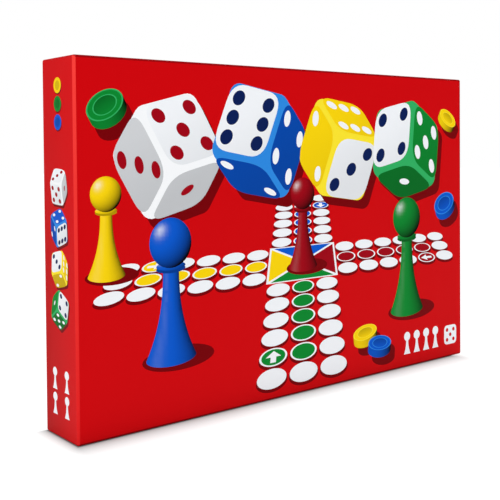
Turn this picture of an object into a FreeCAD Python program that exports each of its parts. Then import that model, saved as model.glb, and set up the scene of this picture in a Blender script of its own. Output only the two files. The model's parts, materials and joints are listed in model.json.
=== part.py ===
import FreeCAD, Part
import math
import os
from collections import namedtuple

# A ludo set in a rigid lid-and-base box, standing on one long side as on a shop shelf.
# X runs along the width, -Y is the front of the lid and +Z is up. The origin is at the bottom centre.
# Lengths are in millimetres.

# Box: two wrapped greyboard trays, one over the other
box_width = 420.0
box_height = 270.0
box_depth = 48.0
greyboard = 1.5
wrap_paper = 0.2
stay_paper = 0.1  # gummed corner strip, as thick as the glue layer under the wrap
stay_reach = 15.0
turn_in = 15.0  # wrap folded in over the rim
fold_radius = 1.8
lid_clearance = 0.6  # between lid and base, on each side
lid_reveal = 1.0  # how far the base shows behind the lid's rim
rim_gap = 0.3  # between the base's rim and the inside of the lid's front

# Counters, lying flat in twos by twos
colours = ("green", "yellow", "blue", "red")  # from the top pocket down
counter_rows = 2
counter_diameter = 24.0
counter_height = 6.5
counter_shoulder = 1.4
counter_foot = 0.6
counter_dish_diameter = 14.0
counter_dish_depth = 2.6
counter_dish_slope = 1.2  # how far the dish's wall leans in
counter_lip = 0.5
counter_gap = 0.4

# Dice, one above the other
die_fronts = (5, 6)  # the number that each die shows at the front, from the lower one up
die_side = 16.0
die_round = 2.2
die_gap = 0.4
pip_radius = 2.0
pip_depth = 0.7
pip_spread_share = 0.25

# Rules leaflet, one sheet folded once, as wide as its place on the shelf leaves room for
leaflet_height = 210.0
leaflet_paper = 0.2
leaflet_gap = 0.4  # between its two leaves

# Playing board, two panels folded face to face at an upright spine on their left
panel_board = 1.8
print_paper = 0.2
lining_paper = 0.2  # the spine tape is as thick
tape_width = 12.0
fold_gap = 0.4  # between the two printed faces
spine_inset = 0.2  # from the fold line to the tape

# Insert of thin formed sheet: a tray for each player's counters, one for the dice, and a shelf
tray_sheet = 0.8
tray_clearance = 0.4  # to the base's walls, and between one section and the next
tray_headroom = 6.4  # from the trays' rims to the inside of the lid
tray_corner = 3.2  # corner and edge radii are inside ones, and the sheet's thickness is added outside
tray_edge = 0.4
tray_rim = 7.0  # from a pocket's floor to the tray's side
pocket_corner = 3.0
pocket_edge = 0.5
pocket_draft_share = 0.06
pocket_play = 0.3
counter_room = 6.0  # pocket depth left over the counters
die_room = 2.0
leaflet_margin = 18.8  # room for a fingertip on each side of the leaflet
board_play = 0.5  # the leaflet stands as far above the shelf's lower end
board_room = 0.8  # how far the folded board lies below the trays' rims
board_seat = 0.1  # between the board and the shelf

overrun = 1.0  # how far a cutting shape passes the faces that it opens

Case = namedtuple("Case", "half_width bottom top closed_y rim_y")
Pocket = namedtuple("Pocket", "left right bottom top depth")
Section = namedtuple("Section", "left right bottom top front pocket")

# Walls and cases worked out from the sizes above
skin = wrap_paper + stay_paper
bare_wall = skin + greyboard
rim_wall = bare_wall + wrap_paper
base_inset = rim_wall + lid_clearance
front_y = -box_depth / 2
back_y = box_depth / 2
lid = Case(box_width / 2, 0, box_height, front_y, back_y - lid_reveal)
base = Case(
    box_width / 2 - base_inset,
    base_inset,
    box_height - base_inset,
    back_y,
    front_y + bare_wall + rim_gap,
)

# Insert's outline
tray_side = base.half_width - rim_wall - tray_clearance
tray_bottom = base.bottom + rim_wall + tray_clearance
tray_top = base.top - rim_wall - tray_clearance
tray_back = back_y - bare_wall
tray_front = front_y + bare_wall + tray_headroom

# Playing board's layers, counted from the fold line
board_side = tray_top - tray_bottom - 2 * board_play
half_thickness = print_paper + panel_board + lining_paper
board_stack = 2 * half_thickness + fold_gap

# Trays: one above the other for the counters, then an upright one for the dice
counter_pocket = counter_rows * counter_diameter + (counter_rows - 1) * counter_gap + 2 * pocket_play
counter_right = counter_pocket + 2 * tray_rim - tray_side
tray_pitch = (tray_top - tray_bottom + tray_clearance) / len(colours)
die_count = len(die_fronts)
die_left = counter_right + tray_clearance
die_pocket_width = die_side + 2 * pocket_play
die_pocket_height = die_count * die_side + (die_count - 1) * die_gap + 2 * pocket_play
die_right = die_left + die_pocket_width + 2 * tray_rim


def pocket_amid(left, right, bottom, top, width, height, depth):
    """A pocket in the middle of a tray."""
    x = (left + right) / 2
    z = (bottom + top) / 2
    return Pocket(x - width / 2, x + width / 2, z - height / 2, z + height / 2, depth)


def counter_section(index):
    """A player's tray, counted from the top one down."""
    top = tray_top - index * tray_pitch
    sides = (-tray_side, counter_right, top + tray_clearance - tray_pitch, top)
    pocket = pocket_amid(*sides, counter_pocket, counter_pocket, counter_height + counter_room)
    return Section(*sides, tray_front, pocket)


counter_sections = {colour: counter_section(i) for i, colour in enumerate(colours)}
die_sides = (die_left, die_right, tray_bottom, tray_top)
die_pocket = pocket_amid(*die_sides, die_pocket_width, die_pocket_height, die_side + die_room)
die_section = Section(*die_sides, tray_front, die_pocket)

# Shelf for the leaflet and the board, and the board's fold line
shelf_front = tray_front + board_room + board_stack + board_seat
shelf = Section(die_right + tray_clearance, tray_side, tray_bottom, tray_top, shelf_front, None)
contents_bottom = tray_bottom + board_play
spine_x = shelf.right - board_play - board_side / 2
fold_y = shelf_front - board_seat - board_stack / 2
leaflet_left = shelf.left + leaflet_margin
leaflet_right = spine_x - leaflet_margin


def block(left, right, y_one, y_two, bottom, top):
    """An upright box between two X, two Y and two Z planes."""
    corner = FreeCAD.Vector(left, min(y_one, y_two), bottom)
    return Part.makeBox(right - left, abs(y_two - y_one), top - bottom, corner)


def along_y(edge):
    first, last = edge.Vertexes[0].Point, edge.Vertexes[-1].Point
    return math.hypot(last.x - first.x, last.z - first.z) < abs(last.y - first.y)


def same(one, two):
    return abs(one - two) < Part.Precision.confusion()


def on_plane(shape, y):
    """Whether an edge or face lies in the plane at y."""
    return same(shape.BoundBox.YMin, y) and same(shape.BoundBox.YMax, y)


def edges_on_plane(shape, y):
    return [e for e in shape.Edges if on_plane(e, y)]


def inward(case):
    """+1 where the case opens towards +Y, -1 where it opens towards -Y."""
    return math.copysign(1, case.rim_y - case.closed_y)


def case_block(case, inset, closed_inset, rim_inset):
    """The block inside a case's outline, set in by its own amount at the sides, closed face and rim."""
    return block(
        inset - case.half_width,
        case.half_width - inset,
        case.closed_y + inward(case) * closed_inset,
        case.rim_y - inward(case) * rim_inset,
        case.bottom + inset,
        case.top - inset,
    )


def folded_block(case, inset, rim_inset):
    """A case's block with every fold rounded about the same centre line."""
    solid = case_block(case, inset, inset, rim_inset)
    rim_edges = edges_on_plane(solid, case.rim_y - inward(case) * rim_inset)
    folds = [e for e in solid.Edges if not any(e.isSame(r) for r in rim_edges)]
    return solid.makeFillet(fold_radius - inset, folds)


def case_board(case):
    """Greyboard tray with its open side at the rim."""
    inside = case_block(case, bare_wall, bare_wall, -overrun)
    return folded_block(case, skin, wrap_paper).cut(inside)


def case_wrap(case):
    """Paper over the outer faces, round the rim and a little way in."""
    outer = folded_block(case, 0, 0).cut(folded_block(case, wrap_paper, wrap_paper))
    depth = abs(case.rim_y - case.closed_y)
    lining = case_block(case, bare_wall, depth - turn_in, wrap_paper)
    opening = case_block(case, rim_wall, depth - turn_in - overrun, -overrun)
    return outer.fuse(lining).cut(opening).removeSplitter()


def corner_stays(case):
    """A strip round each upright corner of the greyboard, under the wrap."""
    layer = folded_block(case, wrap_paper, wrap_paper).cut(folded_block(case, skin, wrap_paper))
    start = case.closed_y + inward(case) * fold_radius
    corners = []
    for x in (-case.half_width, case.half_width - stay_reach):
        for z in (case.bottom, case.top - stay_reach):
            corners.append(block(x, x + stay_reach, start, case.rim_y, z, z + stay_reach))
    return layer.common(Part.makeCompound(corners))


def rounded_outline(left, right, bottom, top, radius, y):
    """A closed rectangle in a plane of constant Y, with round corners."""
    quarter = radius * math.cos(math.pi / 4)
    centres = (
        (right - radius, bottom + radius, 1, -1),
        (right - radius, top - radius, 1, 1),
        (left + radius, top - radius, -1, 1),
        (left + radius, bottom + radius, -1, -1),
    )
    starts = ((0, -1), (1, 0), (0, 1), (-1, 0))
    ends = ((1, 0), (0, 1), (-1, 0), (0, -1))
    arcs = []
    for (x, z, side, rise), first, last in zip(centres, starts, ends):
        begin = FreeCAD.Vector(x + radius * first[0], y, z + radius * first[1])
        middle = FreeCAD.Vector(x + side * quarter, y, z + rise * quarter)
        finish = FreeCAD.Vector(x + radius * last[0], y, z + radius * last[1])
        arcs.append((begin, middle, finish))
    edges = []
    for i, (begin, middle, finish) in enumerate(arcs):
        edges.append(Part.Arc(begin, middle, finish).toShape())
        edges.append(Part.LineSegment(finish, arcs[(i + 1) % len(arcs)][0]).toShape())
    return Part.Wire(edges)


def pocket_solid(pocket, grow):
    """The space of a pocket with leaning walls, grown by the sheet for the tray's underside."""
    floor_y = tray_front + pocket.depth + grow
    mouth_y = tray_front - overrun
    outlines = []
    for y, spread in ((floor_y, grow), (mouth_y, grow + (floor_y - mouth_y) * pocket_draft_share)):
        outlines.append(
            rounded_outline(
                pocket.left - spread,
                pocket.right + spread,
                pocket.bottom - spread,
                pocket.top + spread,
                pocket_corner + spread,
                y,
            )
        )
    return Part.makeLoft(outlines, True, True)


def section_block(section, inset):
    """A section's outer form, set in by the sheet for its underside."""
    solid = block(
        section.left + inset,
        section.right - inset,
        section.front + inset,
        tray_back,
        section.bottom + inset,
        section.top - inset,
    )
    outward = tray_sheet - inset
    solid = solid.makeFillet(tray_corner + outward, [e for e in solid.Edges if along_y(e)])
    return solid.makeFillet(tray_edge + outward, edges_on_plane(solid, section.front + inset))


def formed_section(section):
    """Thin formed sheet, hollow behind, with the section's pocket in its face."""
    solid = section_block(section, 0)
    hollow = section_block(section, tray_sheet)
    if section.pocket is None:
        return solid.cut(hollow)
    hollow = hollow.cut(pocket_solid(section.pocket, tray_sheet))
    formed = solid.cut(pocket_solid(section.pocket, 0)).cut(hollow)
    face = next(f for f in formed.Faces if on_plane(f, section.front))
    mouth = [e for w in face.Wires if not w.isSame(face.OuterWire) for e in w.Edges]
    return formed.makeFillet(pocket_edge, mouth)


def rules_leaflet():
    """A sheet folded once, with its round fold on the left."""
    outer = leaflet_paper + leaflet_gap / 2
    inner = leaflet_gap / 2
    centre_x = leaflet_left + outer
    centre_y = shelf_front - outer
    top = contents_bottom + leaflet_height

    def folded(radius):
        run = block(centre_x, leaflet_right, centre_y - radius, centre_y + radius, contents_bottom, top)
        foot = FreeCAD.Vector(centre_x, centre_y, contents_bottom)
        return run.fuse(Part.makeCylinder(radius, leaflet_height, foot))

    return folded(outer).cut(folded(inner)).removeSplitter()


def board_half(side):
    """Panel, print, lining and spine tape of one half: side is +1 behind the fold line and -1 before it."""
    bottom = contents_bottom
    top = bottom + board_side
    outer_x = spine_x + board_side / 2
    tape_x = spine_x + spine_inset
    panel_x = tape_x + lining_paper
    print_y = fold_y + side * fold_gap / 2
    panel_y = print_y + side * print_paper
    lining_y = panel_y + side * panel_board
    outer_y = lining_y + side * lining_paper
    flap = block(tape_x, spine_x + tape_width, lining_y, outer_y, bottom, top)
    edge = block(tape_x, panel_x, print_y, lining_y, bottom, top)
    return {
        "panel": block(panel_x, outer_x, panel_y, lining_y, bottom, top),
        "print": block(panel_x, outer_x, print_y, panel_y, bottom, top),
        "lining": block(spine_x + tape_width, outer_x, lining_y, outer_y, bottom, top),
        "tape": flap.fuse(edge).removeSplitter(),
    }


def counter():
    """A dished counter, with its foot at the origin and its dish towards -Y."""
    radius = counter_diameter / 2
    dish = counter_dish_diameter / 2
    floor = counter_height - counter_dish_depth
    profile = (
        (0, 0),
        (radius, 0),
        (radius, counter_height),
        (dish, counter_height),
        (dish - counter_dish_slope, floor),
        (0, floor),
        (0, 0),
    )
    outline = Part.makePolygon([FreeCAD.Vector(r, -h, 0) for r, h in profile])
    solid = Part.Face(outline).revolve(FreeCAD.Vector(0, 0, 0), FreeCAD.Vector(0, 1, 0), 360)
    for height, size, round_radius in (
        (0, radius, counter_foot),
        (counter_height, radius, counter_shoulder),
        (counter_height, dish, counter_lip),
    ):
        rings = [e for e in edges_on_plane(solid, -height) if same(e.Curve.Radius, size)]
        solid = solid.makeFillet(round_radius, rings)
    return solid


def counter_place(pocket, index):
    """Where a counter's foot rests in its pocket, filling rows from the lower left."""
    row, column = divmod(index, counter_rows)
    pitch = counter_diameter + counter_gap
    first = pocket_play + counter_diameter / 2
    return FreeCAD.Vector(
        pocket.left + first + column * pitch,
        tray_front + pocket.depth,
        pocket.bottom + first + row * pitch,
    )


def pip_places(number):
    """Places of a number's pips on a face, as signs along the face's two directions."""
    places = [(0, 0)] if number % 2 else []
    if number > 1:
        places += [(-1, -1), (1, 1)]
    if number > 3:
        places += [(-1, 1), (1, -1)]
    if number > 5:
        places += [(-1, 0), (1, 0)]
    return places


def die(front):
    """A die with dimpled pips, its front number towards -Y and opposite faces adding up to seven."""
    solid = Part.makeBox(die_side, die_side, die_side)
    solid.translate(FreeCAD.Vector(-die_side / 2, -die_side / 2, -die_side / 2))
    solid = solid.makeFillet(die_round, solid.Edges)
    others = [n for n in (1, 2, 3) if n not in (front, 7 - front)]
    numbers = {(0, -1, 0): front, (1, 0, 0): others[0], (0, 0, 1): others[1]}
    spread = pip_spread_share * die_side
    rise = die_side / 2 + pip_radius - pip_depth
    pips = []
    for direction, number in numbers.items():
        for sign, shown in ((1, number), (-1, 7 - number)):
            normal = FreeCAD.Vector(*direction) * sign
            across = FreeCAD.Vector(direction[1], direction[2], direction[0])
            along = normal.cross(across)
            for u, v in pip_places(shown):
                centre = normal * rise + across * (u * spread) + along * (v * spread)
                pips.append(Part.makeSphere(pip_radius, centre))
    return solid.cut(pips)


def die_place(index):
    """Centre of a die that stands in the dice pocket."""
    return FreeCAD.Vector(
        die_pocket.left + pocket_play + die_side / 2,
        tray_front + die_pocket.depth - die_side / 2,
        die_pocket.bottom + pocket_play + die_side / 2 + index * (die_side + die_gap),
    )


def all_parts():
    parts = {
        "lid_board": case_board(lid),
        "lid_corner_stays": corner_stays(lid),
        "lid_wrap": case_wrap(lid),
        "base_board": case_board(base),
        "base_corner_stays": corner_stays(base),
        "base_wrap": case_wrap(base),
        "dice_tray": formed_section(die_section),
        "board_shelf": formed_section(shelf),
        "rules_leaflet": rules_leaflet(),
    }
    for half, side in (("lower", 1), ("leaf", -1)):
        for piece, solid in board_half(side).items():
            parts["board_" + piece + "_" + half] = solid
    for colour, section in counter_sections.items():
        parts[colour + "_tray"] = formed_section(section)
        for i in range(counter_rows ** 2):
            placed = counter()
            placed.translate(counter_place(section.pocket, i))
            parts[colour + "_counter_" + str(i + 1)] = placed
    for i, front in enumerate(die_fronts):
        placed = die(front)
        placed.translate(die_place(i))
        parts["die_" + str(i + 1)] = placed
    return parts


os.makedirs("parts", exist_ok=True)
for node, solid in all_parts().items():
    solid.exportStep("parts/" + node + ".step")
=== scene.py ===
import itertools
import json
import math
from functools import partial
from types import SimpleNamespace

import bpy
from bpy.props import FloatProperty, FloatVectorProperty, PointerProperty
from mathutils import Euler, Matrix, Vector, geometry


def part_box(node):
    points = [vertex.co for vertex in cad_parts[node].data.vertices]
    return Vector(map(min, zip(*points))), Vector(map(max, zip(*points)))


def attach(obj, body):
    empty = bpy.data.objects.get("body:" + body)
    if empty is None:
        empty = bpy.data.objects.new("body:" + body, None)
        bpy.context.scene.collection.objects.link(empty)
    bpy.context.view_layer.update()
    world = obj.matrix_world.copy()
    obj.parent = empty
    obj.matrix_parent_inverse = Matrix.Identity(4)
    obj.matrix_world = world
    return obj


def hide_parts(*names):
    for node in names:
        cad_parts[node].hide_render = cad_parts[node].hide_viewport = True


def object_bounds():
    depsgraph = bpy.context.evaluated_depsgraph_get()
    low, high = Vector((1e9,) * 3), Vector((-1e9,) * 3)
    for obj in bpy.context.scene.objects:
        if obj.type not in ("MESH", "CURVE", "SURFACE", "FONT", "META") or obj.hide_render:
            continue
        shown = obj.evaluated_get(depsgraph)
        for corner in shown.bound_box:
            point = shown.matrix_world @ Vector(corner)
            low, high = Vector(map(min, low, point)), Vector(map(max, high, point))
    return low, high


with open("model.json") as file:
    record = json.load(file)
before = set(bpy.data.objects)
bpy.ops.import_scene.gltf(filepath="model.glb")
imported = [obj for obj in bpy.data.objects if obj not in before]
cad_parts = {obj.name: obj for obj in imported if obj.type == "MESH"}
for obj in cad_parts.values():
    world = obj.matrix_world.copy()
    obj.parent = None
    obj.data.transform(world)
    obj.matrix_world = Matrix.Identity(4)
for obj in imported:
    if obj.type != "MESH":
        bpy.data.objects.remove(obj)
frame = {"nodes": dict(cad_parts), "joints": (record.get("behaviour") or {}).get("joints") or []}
CAD_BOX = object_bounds()

bl_info = {
    "name": "Ludo Set",
    "version": (1, 0, 0),
    "blender": (4, 5, 0),
    "location": "3D View > Sidebar > Ludo Set",
    "description": "Printed box, trays, folding board, counters, dice and studio of a ludo set",
    "category": "Object",
}

MM = 0.001
COLOURS = ("green", "yellow", "blue", "red")

# Points of the drawings, in millimetres: how near each other they merge, and their pitch along outlines
MERGE = 0.005
EDGE_PITCH = 2.5

# Points round a drawn ellipse
ROUND_STEPS = 32
LARGE_STEPS = 56
SIGN_STEPS = 24
SMALL_STEPS = 20
DOT_STEPS = 16

# Drawn light on shiny forms: its direction, how tight and strong its shine is, the shade away from it,
# and how far a surface has to face it to have none
LIGHT = SimpleNamespace(direction=(-0.5, 0.5, 0.7), tightness=30, shine=0.7, shade=0.9, lit=0.75)

# A drawn die, in shares of its edge, with the shading dots along that edge, the tones of its faces,
# and how far a face has to turn to the viewer to be drawn
DIE = SimpleNamespace(
    soft=0.15,
    pip=0.1,
    spread=0.26,
    plate=0.44,
    plate_bend=0.255,
    drop=(0.1, -0.12),
    dots=6,
    under_tone=-0.3,
    dim_tone=-0.16,
    least_facing=0.05,
)

# A drawn pawn, in shares of its height, with its foot's bulge and shadow in shares of the foot.
# A lean says how far a surface has turned at its outline, and dots are those of shading along the height.
PAWN = SimpleNamespace(
    neck=0.655,
    stem=0.068,
    flare=2.4,
    steps=14,
    foot=0.215,
    foot_bulge=0.3,
    foot_steps=16,
    shadow=(0.3, -0.05, 1.45, 0.42),
    collar=(0.125, 0.032),
    collar_thick=0.02,
    collar_tone=-0.55,
    head=0.18,
    body_lean=(0.97, 0.12),
    collar_lean=(0.8, 0.5),
    head_lean=0.98,
    body_dots=26,
    collar_dots=30,
    head_dots=36,
)
PAWN_SIGN = SimpleNamespace(neck=0.62, head=0.2, head_rise=0.78, steps=10)

# A drawn counter, in shares of its radius, with the shading dots along that radius
COUNTER = SimpleNamespace(
    thick=0.5,
    top=0.92,
    lip=0.66,
    dish=0.6,
    drop=(0.35, -0.5),
    side_lean=(0.9, -0.35),
    dish_tones=(-0.25, -0.35),
    side_dots=5,
    dish_dots=6,
)

# The board's grid, in cells from its centre
TRACK = SimpleNamespace(
    arm=range(2, 8),
    half=7.5,
    start=(1, 6),
    ring=0.48,
    disc=0.45,
    coloured_share=0.86,
    home=1.5,
    home_line=(0.17, 0.08, 0.09),
    arrow=((-0.09, 0.27), (-0.09, 0.0), (-0.25, 0.0), (0, -0.3), (0.25, 0.0), (0.09, 0.0), (0.09, 0.27)),
)
YARD = SimpleNamespace(
    low=1.75,
    high=7.4,
    line=0.06,
    bends=(0.7, 0.66),
    disc=2.2,
    spot=0.86,
    # Each ring's radius, tone and points
    spot_rings=((0.66, -0.35, ROUND_STEPS), (0.58, 0.0, ROUND_STEPS), (0.26, 0.35, SMALL_STEPS)),
)

# Layout of each print in millimetres, with turns of dice in degrees and of counters in radians
COVER = SimpleNamespace(
    board={"near": 36.0, "far": 19.5, "near_v": 8.0, "far_v": 165.0},
    disc_drop=2.2,
    # Each counter's place, radius, height over width, turn and ink
    far_counters=(
        (-186, 236, 16, 0.62, 0.5, "green"),
        (190, 232, 13, 0.5, -0.55, "yellow"),
        (184, 150, 15, 0.66, 0.35, "blue"),
    ),
    near_counters=(
        (74, 40, 15, 0.45, 0.12, "yellow"),
        (93, 28, 15, 0.45, -0.1, "blue"),
    ),
    # Each die's place, edge, turns, numbers and ink
    dice=(
        (-132, 200, 66, (-28, 34, 14), (5, 3, 1), "white"),
        (-45, 210, 68, (-24, -30, -10), (6, 4, 2), "blue"),
        (44, 202, 66, (26, 32, -8), (3, 2, 6), "yellow"),
        (130, 203, 67, (-30, -34, 12), (4, 5, 1), "green"),
    ),
    # Each pawn's foot, height and ink
    pawns=(
        (-186, 116, 70, "yellow"),
        (0, 106, 74, "crimson"),
        (-132, 50, 104, "blue"),
        (130, 54, 104, "green"),
    ),
    signs=4,
    sign_foot=(130, 12),
    sign_pitch=13.5,
    sign_height=21,
    # Place, edge and number
    die_sign=(193, 21.5, 18.5, 5),
)
SIDE = SimpleNamespace(
    # Each die's turns, numbers and ink
    dice=(
        ((28, 32, 12), (5, 3, 1), "white"),
        ((-26, 32, 4), (6, 4, 2), "blue"),
        ((28, -32, -4), (3, 2, 6), "yellow"),
        ((-26, -32, -12), (4, 5, 1), "green"),
    ),
    die_edge=19.5,
    die_pitch=29,
    die_drop=(0.08, -0.1),
    sign_insets=(40, 22),
    sign_rises=(-9, 9),
    sign_height=16,
    disc_inks=("yellow", "green", "blue"),
    disc_inset=18,
    disc_pitch=13,
    disc_radius=5.6,
    disc_drop=(0.8, -1.0),
    dish_radius=3.4,
    dish_tone=-0.3,
)
BACK = SimpleNamespace(
    margin=16,
    bend=10,
    drop=(1.6, -2.0),
    board_inset=132,
    cell=13.2,
    ground_cells=7.75,
    ground_bend=6,
    counter_inset=(142, 50),
    counter_pitch=(22, 21),
    # Each ring's offset, radius and tone, from the rim in
    counter_rings=((0, 0, 8.6, -0.4), (0, 0.5, 8.0, 0.0), (0, 0.5, 5.2, -0.25), (-0.4, 0.2, 4.7, 0.12)),
    # Each die's inset, rise, turns, numbers and ink
    dice=((120, 92, (-26, 30, 8), (5, 3, 1), "blue"), (78, 90, (28, -32, -6), (6, 4, 2), "red")),
    die_edge=26,
    sign_inset=132,
    sign_rise=36,
    sign_pitch=15,
    sign_height=24,
    # Inset, rise, edge and number
    die_sign=(58, 48, 22, 6),
)
BOARD = SimpleNamespace(cell=16.4, ground_cells=7.62, line=1.3, bends=(5, 4.4))
LEAFLET = SimpleNamespace(
    band_margin=8,
    band_drops=(30, 9),
    band_bend=4,
    die_pitch=21,
    die_drop=19.5,
    die_edge=13,
    die_numbers=(3, 4, 5, 6),
    board_drop=86,
    cell=6.2,
    # Rows of moves: each row's ink and number, and then how all rows are laid out
    rows=(("green", 4), ("yellow", 5), ("blue", 6)),
    row_rise=50,
    row_pitch=18,
    row_margin=14,
    row_half=7,
    row_bend=3,
    row_die_inset=25,
    row_die_edge=10,
    pawn_inset=41,
    pawn_drop=5.4,
    pawn_height=11,
    disc_inset=56,
    disc_pitch=10,
    disc_radius=4.2,
    last_pawn_drop=4.4,
)

# Painted light and shade on the red of the lid's sides, in shares of the ink: brighter by the closed face,
# gained upwards and lost towards the rim, and the part of that loss that the upper edge is spared
SIDE_PAINTED_SHADE = SimpleNamespace(front=1.07, gain=0.04, loss=0.37, spared=0.7)

# The floor's painted soft shadow, where its glow is taken away: how far it reaches, how it fades, and how
# fast it clears past the box's sides
PAINTED_SHADOW = SimpleNamespace(reach=28 * MM, fade=0.45, left=2.2, right=2.0, right_inset=15 * MM, behind=10.0)


def srgb(red, green, blue):
    """A linear colour from a proof's red, green and blue, each 0 to 255."""
    return tuple(
        c / 255 / 12.92 if c < 11 else ((c / 255 + 0.055) / 1.055) ** 2.4 for c in (red, green, blue)
    )


def tone(ink, share):
    """An ink darkened by a negative share or lightened by a positive one."""
    if share < 0:
        return tuple(c * (1 + share) for c in ink)
    return tuple(c + (1 - c) * share for c in ink)


def vivid(ink):
    """A brighter ink of the same colour, for edges that catch the light."""
    return tuple(c**0.6 for c in ink)


def colour_property(name, description, default):
    return FloatVectorProperty(
        name=name, description=description, subtype="COLOR", size=3, min=0, max=1, default=default
    )


def length_property(name, description, default):
    return FloatProperty(
        name=name, description=description, unit="LENGTH", subtype="DISTANCE", min=0, default=default
    )


def angle_property(name, description, degrees):
    return FloatProperty(
        name=name, description=description, unit="ROTATION", subtype="ANGLE", default=math.radians(degrees)
    )


def power_property(name, description, default):
    return FloatProperty(name=name, description=description, unit="POWER", min=0, default=default)


class LudoInks(bpy.types.PropertyGroup):
    """Inks of the printed papers."""

    red: colour_property("Red", "Ground of the box wrap", srgb(207, 4, 11))
    # The ridge inks are a painted highlight on the lid's left fold, brighter at its upper end; the fold ink
    # is painted shade on the folds that turn from the light
    ridge_highlight: colour_property("Ridge red", "Upper end of the fold that faces the light", srgb(246, 62, 56))
    ridge_foot_highlight: colour_property("Low ridge red", "Foot of the fold that faces the light", srgb(221, 28, 30))
    fold: colour_property("Fold red", "Ground on the folds that turn from the light", srgb(158, 3, 9))
    crimson: colour_property("Crimson", "Red pieces drawn on the red ground", srgb(158, 4, 22))
    deep: colour_property("Deep red", "Printed shadows on the red ground", srgb(118, 0, 6))
    white: colour_property("White", "Bare coated paper", srgb(243, 245, 249))
    cream: colour_property("Cream", "Ground of the playing board", srgb(250, 240, 214))
    yellow: colour_property("Yellow", "Yellow player", srgb(250, 212, 10))
    green: colour_property("Green", "Green player", srgb(10, 134, 48))
    blue: colour_property("Blue", "Blue player", srgb(8, 88, 204))
    navy: colour_property("Navy", "Outlines and pips", srgb(10, 30, 84))
    grey: colour_property("Grey", "Leaflet's pale tint", srgb(214, 217, 222))


class LudoPapers(bpy.types.PropertyGroup):
    """Sizes of the box's folded papers."""

    paper: length_property("Paper", "Thickness of the wrap", 0.2 * MM)
    board: length_property("Board", "Wrap and greyboard together", 1.8 * MM)
    fold: length_property("Fold radius", "Outer radius of the folded edges", 1.8 * MM)
    turn_in: length_property("Turn-in", "Wrap folded in over the rim", 15 * MM)
    leaflet: length_property("Leaflet paper", "Thickness of the leaflet's sheet", 0.2 * MM)


class LudoStage(bpy.types.PropertyGroup):
    """Camera and lights of the studio."""

    azimuth: angle_property("Azimuth", "Camera's angle round the box from its front", -38.85)
    elevation: angle_property("Elevation", "Camera's angle above the floor", 1.36)
    roll: angle_property("Roll", "Camera's turn about its own axis", -0.45)
    distance: length_property("Distance", "From the camera to its target", 726.3 * MM)
    target: FloatVectorProperty(
        name="Target",
        description="Point that the camera's axis passes through",
        unit="LENGTH",
        subtype="XYZ",
        default=(-36.8 * MM, 0, 188.7 * MM),
    )
    lens: FloatProperty(name="Lens", description="Focal length in millimetres", default=63.16)
    rise: FloatProperty(name="Rise", description="Camera's vertical shift, in frame widths", default=-0.165)
    key: power_property("Key light", "Power of the large front light", 23)
    side: power_property("Side light", "Power of the left light", 5)
    top: power_property("Top light", "Power of the overhead light", 5)
    sky: FloatProperty(name="Room light", description="Brightness of the white room", min=0, default=0.5)


def ink_of(name):
    """A named ink as plain numbers."""
    return tuple(getattr(bpy.context.scene.ludo_inks, name))


def papers():
    return bpy.context.scene.ludo_papers


class Value:
    """A shader socket that takes Python's arithmetic, each step a Math node."""

    def __init__(self, tree, socket):
        self.tree = tree
        self.socket = socket

    def step(self, operation, *terms):
        node = self.tree.nodes.new("ShaderNodeMath")
        node.operation = operation
        for socket, term in zip(node.inputs, terms):
            feed(self.tree, socket, term)
        return Value(self.tree, node.outputs[0])

    def __add__(self, other):
        return self.step("ADD", self, other)

    def __sub__(self, other):
        return self.step("SUBTRACT", self, other)

    def __rsub__(self, other):
        return self.step("SUBTRACT", other, self)

    def __mul__(self, other):
        return self.step("MULTIPLY", self, other)

    def __pow__(self, other):
        return self.step("POWER", self, other)

    __radd__ = __add__
    __rmul__ = __mul__

    def sine(self):
        return self.step("SINE", self)

    def within(self, low, high):
        """0 at low and before it, 1 at high and past it, and a straight slope between."""
        return self.step("MINIMUM", self.step("MAXIMUM", (self - low) * (1 / (high - low)), 0.0), 1.0)


def feed(tree, socket, term):
    """Links a value to a socket, or sets the socket to a number, colour or vector."""
    if isinstance(term, Value):
        tree.links.new(term.socket, socket)
    elif socket.type == "RGBA" and len(term) == 3:
        socket.default_value = (*term, 1)
    else:
        socket.default_value = term


class Finish:
    """The nodes of a material or a world under construction, with a few ways to add to them."""

    def __init__(self, owner):
        owner.use_nodes = True
        self.owner = owner
        self.tree = owner.node_tree
        self.tree.nodes.clear()

    def node(self, kind, settings=None, sockets=None, output=0):
        """Adds a node: its settings first, then the values or links of its sockets."""
        node = self.tree.nodes.new(kind)
        for name, setting in (settings or {}).items():
            setattr(node, name, setting)
        for name, term in (sockets or {}).items():
            feed(self.tree, node.inputs[name], term)
        return Value(self.tree, node.outputs[output]) if node.outputs else node

    def place(self, output="Object"):
        return self.node("ShaderNodeTexCoord", output=output)

    def grain(self, size, detail=3.0, stretch=None):
        """Noise with features of about that size in metres, drawn out along the axes by the stretch."""
        spot = self.place()
        if stretch:
            spot = self.node("ShaderNodeVectorMath", {"operation": "DIVIDE"}, {0: spot, 1: stretch})
        return self.node("ShaderNodeTexNoise", sockets={"Vector": spot, "Scale": 1 / size, "Detail": detail})

    def axes(self, output="Object"):
        split = self.node("ShaderNodeSeparateXYZ", sockets={0: self.place(output)})
        return [Value(self.tree, socket) for socket in split.socket.node.outputs]

    def mix(self, one, two, share, blend="MIX"):
        settings = {"data_type": "RGBA", "blend_type": blend}
        return self.node("ShaderNodeMix", settings, {0: share, 6: one, 7: two}, output=2)

    def bump(self, height, depth, strength=1.0):
        sockets = {"Height": height, "Distance": depth, "Strength": strength}
        return self.node("ShaderNodeBump", sockets=sockets)

    def surface(self, colour, roughness, gloss, others):
        """Ends a material in one shader and returns the material: others names further sockets."""
        sockets = {"Base Color": colour, "Roughness": roughness, "Specular IOR Level": gloss, **others}
        shader = self.node("ShaderNodeBsdfPrincipled", sockets=sockets)
        self.node("ShaderNodeOutputMaterial", sockets={"Surface": shader})
        return self.owner


def new_finish(name):
    return Finish(bpy.data.materials.new(name))


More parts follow.
